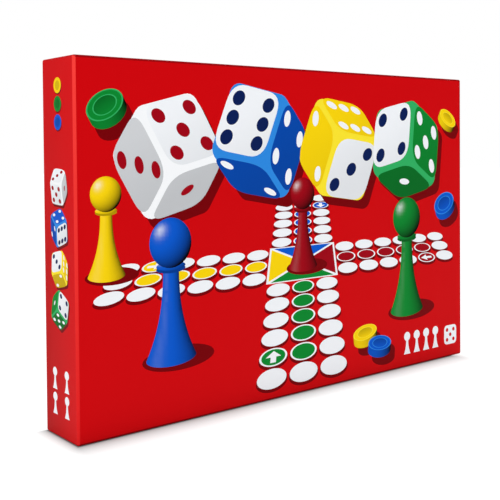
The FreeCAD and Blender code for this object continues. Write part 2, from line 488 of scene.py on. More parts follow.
def printed_paper():
    """Laminated print: inks from the sheet, rubbed a little brighter along the folds."""
    finish = new_finish("printed_paper")
    # The ink attribute carries the print together with the painted light and shade of the wrap's folds and
    # sides
    ink = finish.node("ShaderNodeAttribute", {"attribute_name": "ink"}, output="Color")
    rub = finish.node("ShaderNodeAttribute", {"attribute_name": "ink"}, output="Alpha")
    patch = finish.grain(6 * MM, 4.0)
    fleck = finish.grain(0.8 * MM, 2.0)
    fibre = finish.grain(0.25 * MM, 3.0)
    peel = finish.grain(1.6 * MM, 1.0)
    hand = finish.grain(45 * MM, 4.0)
    worn = rub * (patch * 0.6 + fleck * 0.4).within(0.47, 0.68)
    colour = finish.mix(ink, srgb(236, 66, 58), worn * 0.12)
    handled = (hand * 0.5 + fleck * 0.5).within(0.42, 0.75)
    colour = finish.mix(colour, (0.86, 0.85, 0.85), handled * 0.1, "MULTIPLY")
    relief = finish.bump(fibre * 0.35 + peel * 0.65, 0.02 * MM, 0.5)
    return finish.surface(colour, 0.34 + 0.14 * hand + 0.06 * fibre + 0.25 * worn, 0.03, {"Normal": relief})


def greyboard(name):
    """Bare recycled board, cloudy grey-brown with fibres, dark flecks and pale ones."""
    finish = new_finish(name)
    cloud = finish.grain(26 * MM, 6.0)
    fibre = finish.grain(0.7 * MM, 4.0, (3.0, 1.0, 0.6))
    fleck = finish.grain(1.1 * MM, 1.0)
    colour = finish.mix(srgb(168, 162, 151), srgb(182, 176, 164), cloud.within(0.3, 0.7))
    colour = finish.mix(colour, srgb(122, 116, 106), fibre.within(0.5, 0.78) * 0.5)
    colour = finish.mix(colour, srgb(74, 72, 74), fleck.within(0.68, 0.72) * 0.6)
    colour = finish.mix(colour, srgb(214, 210, 200), fleck.within(0.3, 0.27) * 0.5)
    relief = finish.bump(fibre * 0.7 + cloud * 0.3, 0.12 * MM, 0.6)
    return finish.surface(colour, 0.84 + 0.12 * fibre, 0.2, {"Normal": relief})


def kraft_paper():
    """Gummed brown paper with laid ribs."""
    finish = new_finish("kraft_paper")
    fibre = finish.grain(0.6 * MM, 4.0, (1.0, 1.0, 3.0))
    cloud = finish.grain(12 * MM, 3.0)
    ribs = (finish.axes()[2] * (math.tau / (1.2 * MM))).sine() * 0.5 + 0.5
    colour = finish.mix(srgb(164, 124, 82), srgb(190, 152, 108), cloud * 0.5 + fibre * 0.5)
    relief = finish.bump(fibre * 0.6 + ribs * 0.4, 0.04 * MM, 0.6)
    return finish.surface(colour, 0.62 + 0.2 * fibre, 0.3, {"Normal": relief})


def formed_sheet():
    """White vacuum-formed sheet: satin, a little wavy, with a faint haze of dust."""
    finish = new_finish("formed_sheet")
    wave = finish.grain(22 * MM, 2.0)
    haze = finish.grain(5 * MM, 5.0)
    speck = finish.grain(0.5 * MM, 2.0)
    colour = finish.mix(srgb(240, 241, 243), srgb(246, 247, 248), wave.within(0.35, 0.65))
    colour = finish.mix(colour, srgb(222, 222, 221), haze.within(0.55, 0.8) * 0.2)
    relief = finish.bump(wave * 0.8 + speck * 0.05, 0.06 * MM, 0.35)
    return finish.surface(colour, 0.3 + 0.16 * haze + 0.05 * speck, 0.5, {"Normal": relief})


def lining_paper():
    """Dark blue paper embossed like leather."""
    finish = new_finish("lining_paper")
    sockets = {"Vector": finish.place(), "Scale": 1 / (1.3 * MM)}
    cell = finish.node("ShaderNodeTexVoronoi", {"feature": "DISTANCE_TO_EDGE"}, sockets)
    cloud = finish.grain(30 * MM, 4.0)
    fibre = finish.grain(0.4 * MM, 3.0)
    grain = cell.within(0.0, 0.25)
    colour = finish.mix(srgb(17, 30, 66), srgb(36, 56, 104), grain * 0.6 + cloud * 0.4)
    relief = finish.bump(grain * 0.8 + fibre * 0.2, 0.06 * MM, 0.7)
    return finish.surface(colour, 0.5 + 0.2 * fibre, 0.4, {"Normal": relief})


def spine_cloth():
    """Woven black tape, over and under in both directions."""
    finish = new_finish("spine_cloth")
    x, y, z = finish.axes()
    pitch = math.pi / (0.55 * MM)
    weave = ((x + y) * pitch).sine() * (z * pitch).sine() * 0.5 + 0.5
    fibre = finish.grain(0.2 * MM, 3.0)
    colour = finish.mix(srgb(16, 16, 19), srgb(52, 52, 57), weave * 0.6 + fibre * 0.4)
    relief = finish.bump(weave * 0.8 + fibre * 0.2, 0.1 * MM, 0.7)
    return finish.surface(colour, 0.72 + 0.2 * fibre, 0.3, {"Normal": relief})


def counter_plastic(name, ink):
    """Polished moulded plastic with faint flow marks and turned rings."""
    finish = new_finish(name)
    flow = finish.grain(7 * MM, 3.0, (1.0, 1.0, 2.5))
    scuff = finish.grain(0.5 * MM, 4.0, (2.0, 1.0, 1.0))
    x, _, z = finish.axes("Generated")
    radius = ((x - 0.5) ** 2.0 + (z - 0.5) ** 2.0) ** 0.5
    rings = (radius * 260.0).sine() * 0.5 + 0.5
    colour = finish.mix(tone(ink, -0.18), ink, flow.within(0.3, 0.7))
    relief = finish.bump(rings * 0.5 + scuff * 0.5, 0.015 * MM, 0.5)
    return finish.surface(colour, 0.14 + 0.14 * scuff + 0.04 * rings, 0.22, {"Normal": relief})


def dice_plastic():
    """Ivory white moulded plastic."""
    finish = new_finish("dice_plastic")
    cloud = finish.grain(9 * MM, 3.0)
    scuff = finish.grain(0.4 * MM, 4.0)
    colour = finish.mix(srgb(236, 234, 226), srgb(248, 247, 243), cloud.within(0.3, 0.7))
    relief = finish.bump(scuff, 0.012 * MM, 0.5)
    coat = {"Coat Weight": 0.2, "Coat Roughness": 0.1}
    return finish.surface(colour, 0.2 + 0.14 * scuff, 0.5, {"Normal": relief, **coat})


def pip_paint():
    """Dark blue paint in the dimples, brushed a little unevenly."""
    finish = new_finish("pip_paint")
    cloud = finish.grain(1.5 * MM, 3.0)
    colour = finish.mix(srgb(8, 20, 62), srgb(18, 38, 96), cloud.within(0.35, 0.65))
    relief = finish.bump(cloud, 0.05 * MM, 0.3)
    return finish.surface(colour, 0.24 + 0.2 * cloud, 0.5, {"Normal": relief})


def studio_floor():
    """Pale matt floor with a barely seen grain, which glows except round the foot of the box, where the
    missing glow is a painted contact shadow.
    """
    finish = new_finish("studio_floor")
    cloud = finish.grain(0.4, 3.0)
    colour = finish.mix((0.32, 0.345, 0.345), (0.36, 0.385, 0.385), cloud)
    x, y, _ = finish.axes()
    low, high = CAD_BOX
    left = (low.x - x).within(0.0, 1.0)
    right = (x - (high.x - PAINTED_SHADOW.right_inset)).within(0.0, 1.0)
    before = (low.y - y).within(0.0, 1.0)
    behind = (y - high.y).within(0.0, 1.0)
    across = PAINTED_SHADOW.left * left + PAINTED_SHADOW.right * right
    along = before + PAINTED_SHADOW.behind * behind
    # Painted contact shadow: the glow fades out towards the foot of the box
    clear = ((across**2.0 + along**2.0) ** 0.5).within(0.0, PAINTED_SHADOW.reach) ** PAINTED_SHADOW.fade
    glow = {"Emission Color": finish.mix((0, 0, 0), (1, 1, 1), clear), "Emission Strength": 0.9}
    return finish.surface(colour, 0.85 + 0.1 * cloud, 0.1, glow)


def clamped(number, low, high):
    return min(high, max(low, number))


def ellipse(u, v, wide, high=None, turn=0.0, steps=ROUND_STEPS):
    """An ellipse about u, v, or a circle where only one radius is given."""
    high = wide if high is None else high
    angles = [math.tau * i / steps for i in range(steps)]
    return moved([(wide * math.cos(a), high * math.sin(a)) for a in angles], u, v, turn)


def rectangle(left, bottom, right, top):
    return [(left, bottom), (right, bottom), (right, top), (left, top)]


def rounded(corners, radius, steps=7):
    """An outline with each corner drawn as a smooth bend that starts a radius away from it."""
    points = []
    for i, corner in enumerate(corners):
        corner = Vector(corner)
        before = Vector(corners[i - 1]) - corner
        after = Vector(corners[(i + 1) % len(corners)]) - corner
        start = corner + before.normalized() * min(radius, before.length / 2)
        end = corner + after.normalized() * min(radius, after.length / 2)
        for k in range(steps):
            t = k / (steps - 1)
            points.append(tuple(start * (1 - t) ** 2 + corner * (2 * t * (1 - t)) + end * t**2))
    return points


def hull(points):
    """The outline round a set of points."""
    return [points[i] for i in geometry.convex_hull_2d([Vector(p) for p in points])]


def divided(outline, pitch):
    """An outline with points added, so that shading stays smooth where another outline crosses it."""
    points = []
    for one, two in zip(outline, outline[1:] + outline[:1]):
        steps = max(1, round(math.dist(one, two) / pitch))
        points += [tuple(a + (b - a) * i / steps for a, b in zip(one, two)) for i in range(steps)]
    return points


def moved(outline, u, v, turn=0.0):
    """An outline turned about its origin and moved."""
    c, s = math.cos(turn), math.sin(turn)
    return [(u + x * c - y * s, v + x * s + y * c) for x, y in outline]


class Sheet:
    """A flat print: outlines of ink laid one over another, in millimetres."""

    def __init__(self, left, bottom, right, top, ground):
        self.edge = rectangle(left, bottom, right, top)
        self.layers = [(self.edge, ground)]
        self.dots = []

    def lay(self, outline, ink):
        outline = divided(outline, EDGE_PITCH)
        area = sum(a[0] * b[1] - b[0] * a[1] for a, b in zip(outline, outline[1:] + outline[:1]))
        self.layers.append((outline if area > 0 else outline[::-1], ink))

    def shade(self, outline, ink_at, pitch):
        """Ink that changes over its outline: ink_at gives it at a point."""
        self.lay(outline, ink_at)
        us, vs = zip(*outline)
        corners = [Vector(p) for p in outline]
        for i in range(1, math.ceil((max(us) - min(us)) / pitch)):
            for k in range(1, math.ceil((max(vs) - min(vs)) / pitch)):
                dot = Vector((min(us) + i * pitch, min(vs) + k * pitch))
                if inside(dot, corners):
                    self.dots.append(dot)

    def cells(self):
        """Triangles of the finished print, each with the ink at its corners."""
        points, faces = [], []
        for outline, _ in self.layers:
            faces.append(list(range(len(points), len(points) + len(outline))))
            points += [Vector(p) for p in outline]
        points += self.dots
        spots, _, triangles, *_, sources = geometry.delaunay_2d_cdt(points, [], faces, 1, MERGE)
        for triangle, layers in zip(triangles, sources):
            if 0 not in layers:
                continue
            ink = self.layers[max(layers)][1]
            corners = [tuple(spots[i]) for i in triangle]
            yield corners, [ink(*c) if callable(ink) else ink for c in corners]


def inside(dot, corners):
    """Whether a dot lies within a closed outline."""
    found = False
    for one, two in zip(corners, corners[1:] + corners[:1]):
        if (one.y > dot.y) != (two.y > dot.y):
            if dot.x < one.x + (dot.y - one.y) / (two.y - one.y) * (two.x - one.x):
                found = not found
    return found


def pip_places(number):
    """Places of a number's pips on a die's face, as signs along its two directions."""
    places = [(0, 0)] if number % 2 else []
    if number > 1:
        places += [(-1, -1), (1, 1)]
    if number > 3:
        places += [(-1, 1), (1, -1)]
    if number > 5:
        places += [(-1, 0), (1, 0)]
    return places


def draw_die(sheet, u, v, edge, tumble, numbers, ink, drop=DIE.drop):
    """A tumbling die with one white face towards the viewer and coloured ones beside it.

    A white die has crimson pips all round.
    """
    white, navy, crimson = (ink_of(c) for c in ("white", "navy", "crimson"))
    turned = Euler([math.radians(a) for a in tumble]).to_matrix()
    half = edge / 2
    soft = DIE.soft * edge
    balls = []
    for corner in itertools.product((-1, 1), repeat=3):
        centre = turned @ Vector(corner) * (half - soft)
        balls += ellipse(u + centre.x, v + centre.y, soft, steps=SMALL_STEPS)
    outline = hull(balls)
    if drop:
        sheet.lay(moved(outline, drop[0] * edge, drop[1] * edge), ink_of("deep"))
    sheet.lay(outline, vivid(ink))
    directions = [Vector(d) for d in ((0, 0, 1), (1, 0, 0), (0, 1, 0))]
    faces = [(turned @ d * sign, turned @ d.zxy) for d in directions for sign in (1, -1)]
    faces = sorted((f for f in faces if f[0].z > DIE.least_facing), key=lambda f: f[0].z)
    flat = DIE.plate * edge
    plate = rounded(rectangle(-flat, -flat, flat, flat), DIE.plate_bend * edge)
    spread = DIE.spread * edge
    for (normal, across), number in zip(faces[::-1], numbers):
        along = normal.cross(across)
        front = normal is faces[-1][0]
        base = white if front else tone(ink, DIE.under_tone * (normal.y < 0))
        pip_ink = crimson if ink == white else navy if front else white

        def on_face(a, b):
            spot = normal * half + across * a + along * b
            return u + spot.x, v + spot.y

        def face_ink(a, b, base=base):
            return tone(base, DIE.dim_tone * clamped(0.5 + ((a - u) / 2 - (b - v)) / edge, 0, 1))

        sheet.shade([on_face(*p) for p in plate], face_ink, edge / DIE.dots)
        for a, b in pip_places(number):
            pip = ellipse(a * spread, b * spread, DIE.pip * edge, steps=SMALL_STEPS)
            sheet.lay([on_face(*p) for p in pip], pip_ink)


def pawn_width(height):
    """Half the width of a pawn's body at a share of its height, as a share of that height."""
    rise = clamped(height / PAWN.neck, 0, 1)
    return PAWN.stem + (PAWN.foot - PAWN.stem) * (1 - rise) ** PAWN.flare


def lit_round(ink, x, y):
    """Ink of a shiny round form where its surface leans by x and y."""
    depth = math.sqrt(max(0, 1 - x * x - y * y))
    facing = sum(a * b for a, b in zip(LIGHT.direction, (x, y, depth)))
    shaded = tone(ink, min(0, LIGHT.shade * (facing - LIGHT.lit)))
    return tone(shaded, LIGHT.shine * max(0, facing) ** LIGHT.tightness)


def draw_pawn(sheet, u, v, height, ink):
    """A shiny pawn that stands on its foot at u, v."""
    foot = PAWN.foot * height
    across, up, wide, high = (share * foot for share in PAWN.shadow)
    sheet.lay(ellipse(u + across, v + up, wide, high), ink_of("deep"))
    rises = [i / PAWN.steps * PAWN.neck for i in range(PAWN.steps + 1)]
    right = [(pawn_width(t) * height, t * height) for t in rises]
    left = [(-wide, rise) for wide, rise in right[::-1]]
    angles = [math.pi * i / PAWN.foot_steps for i in range(1, PAWN.foot_steps)]
    bottom = [(-foot * math.cos(a), -PAWN.foot_bulge * foot * math.sin(a)) for a in angles]

    def body_ink(a, b):
        lean = (a - u) / (pawn_width((b - v) / height) * height)
        return lit_round(ink, PAWN.body_lean[0] * clamped(lean, -1, 1), PAWN.body_lean[1])

    sheet.shade(moved(right + left + bottom, u, v), body_ink, height / PAWN.body_dots)
    collar = v + PAWN.neck * height
    wide, high = (share * height for share in PAWN.collar)

    def collar_ink(a, b):
        return lit_round(ink, PAWN.collar_lean[0] * (a - u) / wide, PAWN.collar_lean[1] * (b - collar) / high)

    sheet.lay(ellipse(u, collar - PAWN.collar_thick * height, wide, high), tone(ink, PAWN.collar_tone))
    sheet.shade(ellipse(u, collar, wide, high), collar_ink, height / PAWN.collar_dots)
    radius = PAWN.head * height
    middle = v + height - radius

    def head_ink(a, b):
        return lit_round(ink, PAWN.head_lean * (a - u) / radius, PAWN.head_lean * (b - middle) / radius)

    sheet.shade(ellipse(u, middle, radius), head_ink, height / PAWN.head_dots)


def draw_counter(sheet, u, v, radius, squash, turn, ink):
    """A dished counter seen aslant: squash is its apparent height over its width."""
    thick = COUNTER.thick * radius * math.sqrt(1 - squash**2)

    def ring(share):
        return ellipse(u, v, share * radius, share * squash * radius, turn)

    def side_ink(a, b):
        along = ((a - u) * math.cos(turn) + (b - v) * math.sin(turn)) / radius
        return lit_round(ink, COUNTER.side_lean[0] * clamped(along, -1, 1), COUNTER.side_lean[1])

    def dish_ink(a, b):
        across = ((b - v) * math.cos(turn) - (a - u) * math.sin(turn)) / (squash * radius)
        return tone(ink, COUNTER.dish_tones[0] + COUNTER.dish_tones[1] * clamped(across, -1, 1))

    body = hull(ring(1) + moved(ring(1), thick * math.sin(turn), -thick * math.cos(turn)))
    sheet.lay(moved(body, *(share * radius for share in COUNTER.drop)), ink_of("deep"))
    sheet.shade(body, side_ink, radius / COUNTER.side_dots)
    sheet.lay(ring(1), vivid(ink))
    sheet.lay(ring(COUNTER.top), ink)
    sheet.lay(ring(COUNTER.lip), vivid(ink))
    sheet.shade(ring(COUNTER.dish), dish_ink, radius / COUNTER.dish_dots)


def draw_pawn_sign(sheet, u, v, height, ink):
    """A flat pawn sign whose foot is at u, v."""
    rises = [i / PAWN_SIGN.steps * PAWN_SIGN.neck for i in range(PAWN_SIGN.steps + 1)]
    right = [(pawn_width(t) * height, t * height) for t in rises]
    left = [(-wide, rise) for wide, rise in right[::-1]]
    sheet.lay(moved(right + left, u, v), ink)
    sheet.lay(ellipse(u, v + PAWN_SIGN.head_rise * height, PAWN_SIGN.head * height, steps=SIGN_STEPS), ink)


def draw_die_sign(sheet, u, v, edge, number, ground, ink):
    """A flat die face about u, v."""
    half = edge / 2
    spread = DIE.spread * edge
    sheet.lay(moved(rounded(rectangle(-half, -half, half, half), half / 2), u, v), ground)
    for a, b in pip_places(number):
        sheet.lay(ellipse(u + a * spread, v + b * spread, DIE.pip * edge, steps=DOT_STEPS), ink)


def lay_turned(sheet, place, outline, turns, ink, drop=0.0):
    """Lays an outline of the board's grid on a sheet, after quarter turns about the grid's centre."""
    for _ in range(turns):
        outline = [(-y, x) for x, y in outline]
    sheet.lay(moved([place(*p) for p in outline], 0, -drop), ink)


def draw_track(sheet, place, players, rim, shadow_drop=0.0):
    """The cross of discs with its coloured lanes and home, for players anticlockwise from the upper arm."""
    lay = partial(lay_turned, sheet, place)
    white = ink_of("white")
    cells = [(turns, column, row) for turns in range(4) for row in TRACK.arm for column in (-1, 0, 1)]
    for turns, column, row in cells:
        lay(ellipse(column, row, TRACK.ring), turns, rim, shadow_drop)
    for turns, column, row in cells:
        start = (column, row) == TRACK.start
        lane = column == 0 and row != TRACK.arm[-1]
        lay(ellipse(column, row, TRACK.disc), turns, white)
        if start or lane:
            lay(ellipse(column, row, TRACK.disc * TRACK.coloured_share), turns, players[turns])
        if start:
            lay(moved(TRACK.arrow, column, row), turns, white)
    far = TRACK.home
    side, end, tip = TRACK.home_line
    for turns in range(4):
        lay([(-far, far), (0, 0), (far, far)], turns, white)
    for turns in range(4):
        lay([(side - far, far - end), (0, tip), (far - side, far - end)], turns, players[turns])


def draw_yards(sheet, place, players, rim):
    """The four players' corner yards with their waiting spots."""
    lay = partial(lay_turned, sheet, place)
    middle = (YARD.low + YARD.high) / 2
    for turns, ink in enumerate(players):
        for inset, bend, ground in zip((0, YARD.line), YARD.bends, (rim, ink)):
            low, high = YARD.low + inset, YARD.high - inset
            lay(rounded(rectangle(low, low, high, high), bend), turns, ground)
        lay(ellipse(middle, middle, YARD.disc, steps=LARGE_STEPS), turns, ink_of("white"))
        for x, y in itertools.product((-YARD.spot, YARD.spot), repeat=2):
            for radius, share, steps in YARD.spot_rings:
                lay(ellipse(middle + x, middle + y, radius, steps=steps), turns, tone(ink, share))


def draw_board(sheet, u, v, cell):
    """The flat board about u, v, with navy outlines."""
    players = [ink_of(c) for c in ("green", "red", "yellow", "blue")]
    for draw in (draw_yards, draw_track):
        draw(sheet, lambda x, y: (u + x * cell, v + y * cell), players, ink_of("navy"))


def deep_place(near, far, near_v, far_v):
    """One-point view of the board's grid: cell widths and heights on the sheet at its near and far ends."""
    depth = TRACK.half * (near + far) / (near - far)
    zoom = near * (depth - TRACK.half)
    lift = (far_v - near_v) / (near - far)
    horizon = near_v + lift * near

    def place(x, y):
        scale = zoom / (depth + y)
        return x * scale, horizon - lift * scale

    return place


def lid_cover(left, bottom, right, top):
    """Front of the lid: the board in perspective, dice tumbling over it, pawns and counters."""
    red, white = ink_of("red"), ink_of("white")
    sheet = Sheet(left, bottom, right, top, red)
    players = [ink_of(c) for c in ("blue", "yellow", "green", "crimson")]
    draw_track(sheet, deep_place(**COVER.board), players, ink_of("deep"), COVER.disc_drop)
    layers = (
        (draw_counter, COVER.far_counters),
        (draw_die, COVER.dice),
        (draw_pawn, COVER.pawns),
        (draw_counter, COVER.near_counters),
    )
    for draw, things in layers:
        for *thing, colour in things:
            draw(sheet, *thing, ink_of(colour))
    u, v = COVER.sign_foot
    for i in range(COVER.signs):
        draw_pawn_sign(sheet, u + COVER.sign_pitch * i, v, COVER.sign_height, white)
    draw_die_sign(sheet, *COVER.die_sign, white, red)
    return sheet


def side_strip(left, bottom, right, top, along_u, ground):
    """A side of the lid: a row of tumbling dice, with pawn signs at one end and discs at the other."""
    sheet = Sheet(left, bottom, right, top, ground)
    middle_u, middle_v = (left + right) / 2, (bottom + top) / 2
    half = (right - left if along_u else top - bottom) / 2
    turn = 0.0 if along_u else -math.pi / 2

    def spot(run, rise):
        return moved([(run, rise)], middle_u, middle_v, turn)[0]

    for i, (turns, numbers, colour) in enumerate(SIDE.dice):
        place = spot((i - (len(SIDE.dice) - 1) / 2) * SIDE.die_pitch, 0)
        tumble = (*turns[:2], turns[2] + math.degrees(turn))
        draw_die(sheet, *place, SIDE.die_edge, tumble, numbers, ink_of(colour), SIDE.die_drop)
    for inset, rise in itertools.product(SIDE.sign_insets, SIDE.sign_rises):
        u, v = spot(half - inset, rise)
        draw_pawn_sign(sheet, u, v - SIDE.sign_height / 2, SIDE.sign_height, ink_of("white"))
    for i, colour in enumerate(SIDE.disc_inks):
        place = spot(SIDE.disc_inset + SIDE.disc_pitch * i - half, 0)
        disc = ellipse(*place, SIDE.disc_radius)
        sheet.lay(moved(disc, *SIDE.disc_drop), ink_of("deep"))
        sheet.lay(disc, ink_of(colour))
        sheet.lay(ellipse(*place, SIDE.dish_radius), tone(ink_of(colour), SIDE.dish_tone))
    return sheet


def back_panel(left, bottom, right, top):
    """Back of the base: a white panel with the flat board and what the box holds."""
    red, white = ink_of("red"), ink_of("white")
    sheet = Sheet(left, bottom, right, top, red)
    margin = BACK.margin
    panel = rounded(rectangle(left + margin, bottom + margin, right - margin, top - margin), BACK.bend)
    sheet.lay(moved(panel, *BACK.drop), ink_of("deep"))
    sheet.lay(panel, white)
    middle = (left + BACK.board_inset, (bottom + top) / 2)
    edge = BACK.ground_cells * BACK.cell
    sheet.lay(moved(rounded(rectangle(-edge, -edge, edge, edge), BACK.ground_bend), *middle), ink_of("cream"))
    draw_board(sheet, *middle, BACK.cell)
    for (row, colour), column in itertools.product(enumerate(COLOURS), range(4)):
        u = right - BACK.counter_inset[0] + BACK.counter_pitch[0] * column
        v = top - BACK.counter_inset[1] - BACK.counter_pitch[1] * row
        for across, up, radius, share in BACK.counter_rings:
            sheet.lay(ellipse(u + across, v + up, radius), tone(ink_of(colour), share))
    for inset, rise, tumble, numbers, colour in BACK.dice:
        draw_die(sheet, right - inset, bottom + rise, BACK.die_edge, tumble, numbers, ink_of(colour), None)
    for i, colour in enumerate(COLOURS):
        u = right - BACK.sign_inset + BACK.sign_pitch * i
        draw_pawn_sign(sheet, u, bottom + BACK.sign_rise, BACK.sign_height, ink_of(colour))
    inset, rise, edge, number = BACK.die_sign
    draw_die_sign(sheet, right - inset, bottom + rise, edge, number, red, white)
    return sheet


def board_face(left, bottom, right, top):
    """Playing face: a navy border, a yellow line, and yards and track on cream about the fold."""
    sheet = Sheet(left, bottom, right, top, ink_of("navy"))
    outer = BOARD.ground_cells * BOARD.cell
    for edge, bend, colour in zip((outer, outer - BOARD.line), BOARD.bends, ("yellow", "cream")):
        sheet.lay(rounded(rectangle(-edge, -edge, edge, edge), bend), ink_of(colour))
    draw_board(sheet, 0, 0, BOARD.cell)
    return sheet


def leaflet_face(left, bottom, right, top):
    """Front of the leaflet: a red band, the board and rows of moves as signs."""
    white, navy, red = (ink_of(c) for c in ("white", "navy", "red"))
    sheet = Sheet(left, bottom, right, top, ink_of("cream"))
    middle = (left + right) / 2
    low, high = (top - drop for drop in LEAFLET.band_drops)
    band = rectangle(left + LEAFLET.band_margin, low, right - LEAFLET.band_margin, high)
    sheet.lay(rounded(band, LEAFLET.band_bend), red)
    for i, number in enumerate(LEAFLET.die_numbers):
        u = middle + (i - (len(LEAFLET.die_numbers) - 1) / 2) * LEAFLET.die_pitch
        draw_die_sign(sheet, u, top - LEAFLET.die_drop, LEAFLET.die_edge, number, white, red)
    draw_board(sheet, middle, top - LEAFLET.board_drop, LEAFLET.cell)
    low, high = left + LEAFLET.row_margin, right - LEAFLET.row_margin
    for row, (colour, number) in enumerate(LEAFLET.rows):
        ink = ink_of(colour)
        v = bottom + LEAFLET.row_rise - LEAFLET.row_pitch * row
        plate = rectangle(low, v - LEAFLET.row_half, high, v + LEAFLET.row_half)
        sheet.lay(rounded(plate, LEAFLET.row_bend), ink_of("grey"))
        draw_die_sign(sheet, left + LEAFLET.row_die_inset, v, LEAFLET.row_die_edge, number, white, navy)
        draw_pawn_sign(sheet, left + LEAFLET.pawn_inset, v - LEAFLET.pawn_drop, LEAFLET.pawn_height, ink)
        discs = [left + LEAFLET.disc_inset + LEAFLET.disc_pitch * i for i in range(number)]
        for u in discs:
            sheet.lay(ellipse(u, v, LEAFLET.disc_radius, steps=SIGN_STEPS), white)
        draw_pawn_sign(sheet, discs[-1], v - LEAFLET.last_pawn_drop, LEAFLET.pawn_height, ink)
    return sheet


class Shell:
    """A mesh put together face by face, with an ink, a normal and a place on the flat net at each corner."""

    def __init__(self, net_size, net_centre):
        self.net_size = net_size
        self.net_centre = net_centre
        self.index = {}
        self.points = []
        self.faces = []
        self.inks = []
        self.normals = []
        self.net = []

    def point(self, place):
        """The number of a mesh point, shared by all faces that meet there."""
        key = tuple(round(c, 3) for c in place)
        if key not in self.index:
            self.index[key] = len(self.points)
            self.points.append(Vector(place) * MM)
        return self.index[key]

    def face(self, corners):
        """Adds a face of (place, normal, ink, rub, net) corners, turned to look along its normals."""
        numbers = [self.point(c[0]) for c in corners]
        kept = [i for i, n in enumerate(numbers) if n != numbers[i - 1]]
        if len(kept) < 3:
            return
        places = [Vector(corners[i][0]) for i in kept]
        looks = geometry.normal(places)
        if looks.dot(sum((Vector(corners[i][1]) for i in kept), Vector())) < 0:
            kept.reverse()
        self.faces.append([numbers[i] for i in kept])
        for i in kept:
            _, normal, ink, rub, net = corners[i]
            self.normals.append(Vector(normal).normalized())
            self.inks += [*ink, rub]
            self.net += [0.5 + (n - c) / self.net_size for n, c in zip(net, self.net_centre)]

    def print(self, sheet, place, normal, net):
        """Lays a printed sheet on a flat place of the mesh."""
        for corners, inked in sheet.cells():
            self.face([(place(*c), normal, ink, 0.0, net(*c)) for c, ink in zip(corners, inked)])

    def rim(self):
        """Edges that only one face has so far, as pairs of point numbers in that face's order."""
        loops = (zip(numbers, numbers[1:] + numbers[:1]) for numbers in self.faces)
        seen = dict.fromkeys(itertools.chain.from_iterable(loops))
        return [(one, two) for one, two in seen if (two, one) not in seen]

    def build(self, name, material):
        mesh = bpy.data.meshes.new(name)
        mesh.from_pydata(self.points, [], self.faces, shade_flat=False)
        mesh.color_attributes.new("ink", "FLOAT_COLOR", "CORNER").data.foreach_set("color", self.inks)
        mesh.uv_layers.new(name="OFBake").data.foreach_set("uv", self.net)
        mesh.normals_split_custom_set(self.normals)
        mesh.materials.append(material)
        piece = bpy.data.objects.new(name, mesh)
        bpy.context.scene.collection.objects.link(piece)
        return piece


class Case:
    """Outline of a lid or base in millimetres, with its closed face and its rim along Y."""

    # Each corner's side, whether it is an upper one, and the angle where its bend starts
    CORNERS = ((1, 0, -90), (1, 1, 0), (-1, 1, 90), (-1, 0, 180))
    # The side that follows each corner
    SIDES = ("right", "top", "left", "bottom")
    # Faces round each bend
    STEPS = 6

    def __init__(self, node, opens_back):
        low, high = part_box(node)
        self.half = high.x / MM
        self.bottom = low.z / MM
        self.top = high.z / MM
        self.inward = 1 if opens_back else -1
        self.closed = (low.y if opens_back else high.y) / MM
        self.rim = (high.y if opens_back else low.y) / MM
        self.fold = papers().fold / MM

    def ring(self, inset, radius, y, unrolled):
        """Points round the case, each as (place, outward direction, place on the net)."""
        points = []
        for side, upper, start in self.CORNERS:
            middle = Vector((side * (self.half - inset - radius), 0))
            middle.y = self.top - inset - radius if upper else self.bottom + inset + radius
            flat = Vector((side * (self.half - self.fold), 0))
            flat.y = self.top - self.fold if upper else self.bottom + self.fold
            for i in range(self.STEPS + 1):
                angle = math.radians(start + 90 * i / self.STEPS)
                out = Vector((math.cos(angle), math.sin(angle)))
                spot = middle + out * radius
                points.append(((spot.x, y, spot.y), out, tuple(flat + out * unrolled)))
        return points

    def folded_ring(self, inset, angle):
        """A ring on the fold between the closed face and the sides."""
        radius = self.fold - inset
        y = self.closed + self.inward * (inset + radius * (1 - math.cos(angle)))
        return self.ring(inset + radius * (1 - math.sin(angle)), radius * math.sin(angle), y, radius * angle)

    def rise(self, z):
        """The share of the case's height that lies below z."""
        return (z - self.bottom) / (self.top - self.bottom)

    def side_ink(self, y, z):
        """Ground of a side with painted light and shade: bright by the closed face, deeper towards the rim
        and most of all at its foot.
        """
        back = (y - self.closed) / (self.rim - self.closed)
        rise = self.rise(z)
        loss = SIDE_PAINTED_SHADE.loss * back * (1 - SIDE_PAINTED_SHADE.spared * rise)
        share = SIDE_PAINTED_SHADE.front + SIDE_PAINTED_SHADE.gain * rise - loss
        return tuple(c * share for c in ink_of("red"))

    def fold_highlight_and_shade(self, place, out):
        """Ink on a fold of the side that faces along out: a painted highlight at the left, brighter upwards,
        and painted shade elsewhere.
        """
        # Painted highlight, brighter upwards, blended into painted shade as the fold turns away from the left
        lit = Vector(ink_of("ridge_foot_highlight")).lerp(Vector(ink_of("ridge_highlight")), self.rise(place[2]))
        return tuple(Vector(ink_of("fold")).lerp(lit, max(0.0, -out.x)))


def loft(shell, one, two, normal_one, normal_two, ink, rubs=(0.0, 0.0), sheets=None):
    """Faces between two rings, with printed sheets on the flat sides that have one.

    The ink is a colour, or a function that gives it from a place and the direction that its side faces.
    """
    per_corner = Case.STEPS + 1
    for i, (a, b) in enumerate(zip(one, one[1:] + one[:1])):
        if sheets and i % per_corner == Case.STEPS and Case.SIDES[i // per_corner] in sheets:
            shell.print(*sheets[Case.SIDES[i // per_corner]])
            continue
        k = (i + 1) % len(one)
        corners = []
        for spots, normal, rub in (((a, b), normal_one, rubs[0]), ((two[k], two[i]), normal_two, rubs[1])):
            for place, out, net in spots:
                corners.append((place, normal(out), ink(place, out) if callable(ink) else ink, rub, net))
        shell.face(corners)


